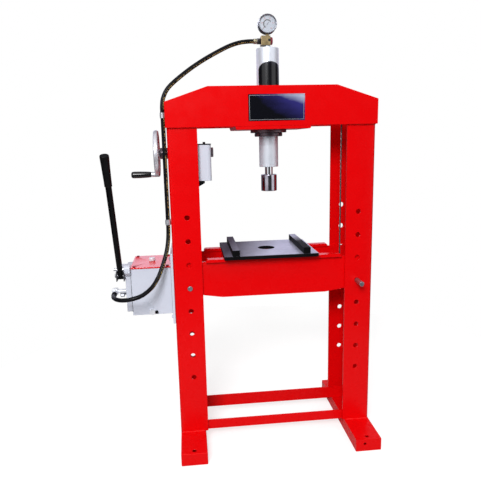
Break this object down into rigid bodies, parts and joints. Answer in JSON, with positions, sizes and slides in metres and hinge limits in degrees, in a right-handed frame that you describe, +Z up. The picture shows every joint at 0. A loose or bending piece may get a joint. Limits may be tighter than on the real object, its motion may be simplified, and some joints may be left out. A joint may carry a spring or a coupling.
{
  "type": "hydraulic shop press",
  "caption": "H-frame shop press with a bed on pins, a hand pump and hose, a ram with a pressure gauge, and a winch that lifts the bed",
  "frame": {"origin": "on the floor, in the middle of the press's own bounding box; the press axis, the cylinder's centre line, stands 105 mm to the right of it and 23 mm behind it", "axes": "+Z up, +X to the operator's right, -Y towards the operator, the side with the nameplate and the gauge's face"},
  "size_m": [0.91, 0.4858, 1.4823],
  "materials": {
    "red_enamel": "gloss enamel",
    "silver_paint": "silver paint",
    "grey_paint": "satin paint",
    "black_paint": "satin black paint",
    "blackened_steel": "blackened",
    "plain_steel": "machined",
    "zinc_steel": "zinc plated",
    "chrome_plate": "chrome plated",
    "bronze": "machined",
    "brass": "machined",
    "black_rubber": "matt",
    "hose_rubber": "smooth with a printed line",
    "wire_rope": "stranded wire",
    "white_dial": "printed",
    "clear_glass": "clear"
  },
  "bodies": {
    "frame": {"left_column": "red_enamel", "right_column": "red_enamel", "left_foot": "red_enamel", "right_foot": "red_enamel", "front_tie_bar": "red_enamel", "rear_tie_bar": "red_enamel", "front_beam_plate": "red_enamel", "rear_beam_plate": "red_enamel", "crosshead": "red_enamel", "tank_lid": "red_enamel", "cylinder_barrel": "silver_paint", "pump_head": "silver_paint", "pump_mounting_plate": "grey_paint", "pump_tank": "grey_paint", "winch_housing": "grey_paint", "winch_bracket": "black_paint", "winch_cap": "black_paint", "shaft_bearing": "black_paint", "cylinder_flange": "blackened_steel", "cylinder_ring_nut": "blackened_steel", "return_spring": "plain_steel", "upper_hose_fitting": "plain_steel", "lower_hose_fitting": "plain_steel", "upper_hose_clip": "plain_steel", "lower_hose_clip": "plain_steel", "fulcrum_pin": "plain_steel", "drain_plug": "zinc_steel", "gauge_case": "chrome_plate", "cylinder_gland": "bronze", "manifold_block": "brass", "hydraulic_hose": "hose_rubber", "upper_rope": "wire_rope", "left_rope_fall": "wire_rope", "right_rope_fall": "wire_rope", "gauge_dial": "white_dial", "gauge_lens": "clear_glass"},
    "ram": {"piston_and_rod": "chrome_plate", "piston_seal": "black_rubber", "ram_head": "chrome_plate"},
    "needle": {"gauge_needle": "black_paint"},
    "bed": {"front_bed_rail": "red_enamel", "rear_bed_rail": "red_enamel", "lower_rope": "wire_rope"},
    "plate": {"press_plate": "black_paint"},
    "left_pin": {"left_bed_pin": "plain_steel"},
    "right_pin": {"right_bed_pin": "plain_steel"},
    "left_pulley": {"bed_left_pulley": "plain_steel"},
    "right_pulley": {"bed_right_pulley": "plain_steel"},
    "left_sheave": {"top_left_sheave": "plain_steel"},
    "right_sheave": {"top_right_sheave": "plain_steel"},
    "drum": {"winch_drum": "plain_steel"},
    "crank": {"crank_shaft": "plain_steel", "handwheel": "zinc_steel"},
    "grip": {"crank_grip": "black_paint"},
    "lever": {"pump_lever": "black_paint", "lever_grip": "black_rubber", "link_bolt": "zinc_steel"},
    "plunger": {"pump_plunger": "plain_steel"},
    "valve": {"release_valve": "zinc_steel"},
    "filler": {"filler_cap": "zinc_steel"}
  },
  "joints": [
    {"name": "ram_stroke", "type": "slide", "parent": "frame", "child": "ram", "axis": [0, 0, -1], "range_m": [0, 0.12], "stiffness_N_per_m": 1500, "springref_m": -0.04, "deforming": ["return_spring"]},
    {"name": "gauge_needle_turn", "type": "hinge", "parent": "frame", "child": "needle", "pos_m": [0.10495, 0.02292, 1.4503], "axis": [0, 1, 0], "range_deg": [0, 270]},
    {"name": "bed_lift", "type": "slide", "parent": "frame", "child": "bed", "axis": [0, 0, 1], "range_m": [0, 0.0839], "deforming": ["left_rope_fall", "right_rope_fall"]},
    {"name": "press_plate_slide", "type": "slide", "parent": "bed", "child": "plate", "axis": [1, 0, 0], "range_m": [-0.06, 0.085]},
    {"name": "left_pin_slide", "type": "slide", "parent": "frame", "child": "left_pin", "axis": [0, -1, 0], "range_m": [0, 0.165]},
    {"name": "right_pin_slide", "type": "slide", "parent": "frame", "child": "right_pin", "axis": [0, -1, 0], "range_m": [-0.045, 0.12]},
    {"name": "left_pulley_turn", "type": "hinge", "parent": "bed", "child": "left_pulley", "pos_m": [-0.13205, -0.03209, 0.6], "axis": [0, 1, 0], "range_deg": [-241, 0]},
    {"name": "right_pulley_turn", "type": "hinge", "parent": "bed", "child": "right_pulley", "pos_m": [0.32795, -0.03209, 0.6], "axis": [0, 1, 0], "range_deg": [-241, 0]},
    {"name": "left_sheave_turn", "type": "hinge", "parent": "frame", "child": "left_sheave", "pos_m": [-0.16575, -0.03209, 1.15], "axis": [0, 1, 0], "range_deg": [-481, 0]},
    {"name": "right_sheave_turn", "type": "hinge", "parent": "frame", "child": "right_sheave", "pos_m": [0.32795, -0.03209, 1.15], "axis": [0, 1, 0], "range_deg": [-481, 0]},
    {"name": "drum_turn", "type": "hinge", "parent": "frame", "child": "drum", "pos_m": [-0.18505, -0.01209, 0.9875], "axis": [1, 0, 0], "range_deg": [0, 481]},
    {"name": "crank_turn", "type": "hinge", "parent": "frame", "child": "crank", "pos_m": [-0.24505, -0.01209, 1.0355], "axis": [1, 0, 0], "range_deg": [-1443, 0]},
    {"name": "crank_grip_spin", "type": "hinge", "parent": "crank", "child": "grip", "pos_m": [-0.33505, -0.01209, 0.9665], "axis": [1, 0, 0], "continuous": true},
    {"name": "lever_swing", "type": "hinge", "parent": "frame", "child": "lever", "pos_m": [-0.41945, -0.07408, 0.658], "axis": [1, 0, 0], "range_deg": [-22.5, 25]},
    {"name": "plunger_slide", "type": "slide", "parent": "frame", "child": "plunger", "axis": [0, 1, 0], "range_m": [-0.0093, 0.0103]},
    {"name": "release_valve_turn", "type": "hinge", "parent": "frame", "child": "valve", "pos_m": [-0.41505, -0.01708, 0.556], "axis": [1, 0, 0], "range_deg": [0, 180]},
    {"name": "filler_cap_turn", "type": "hinge", "parent": "frame", "child": "filler", "pos_m": [-0.31815, 0.02292, 0.66], "axis": [0, 0, 1], "range_deg": [0, 360]}
  ],
  "couplings": [
    {"joint": "drum_turn", "follows": "bed_lift", "rad_per_m": 100},
    {"joint": "crank_turn", "follows": "bed_lift", "rad_per_m": -300},
    {"joint": "left_sheave_turn", "follows": "bed_lift", "rad_per_m": -100},
    {"joint": "right_sheave_turn", "follows": "bed_lift", "rad_per_m": -100},
    {"joint": "left_pulley_turn", "follows": "bed_lift", "rad_per_m": -50},
    {"joint": "right_pulley_turn", "follows": "bed_lift", "rad_per_m": -50},
    {"joint": "plunger_slide", "follows": "lever_swing", "m_per_rad": 0.0235}
  ]
}
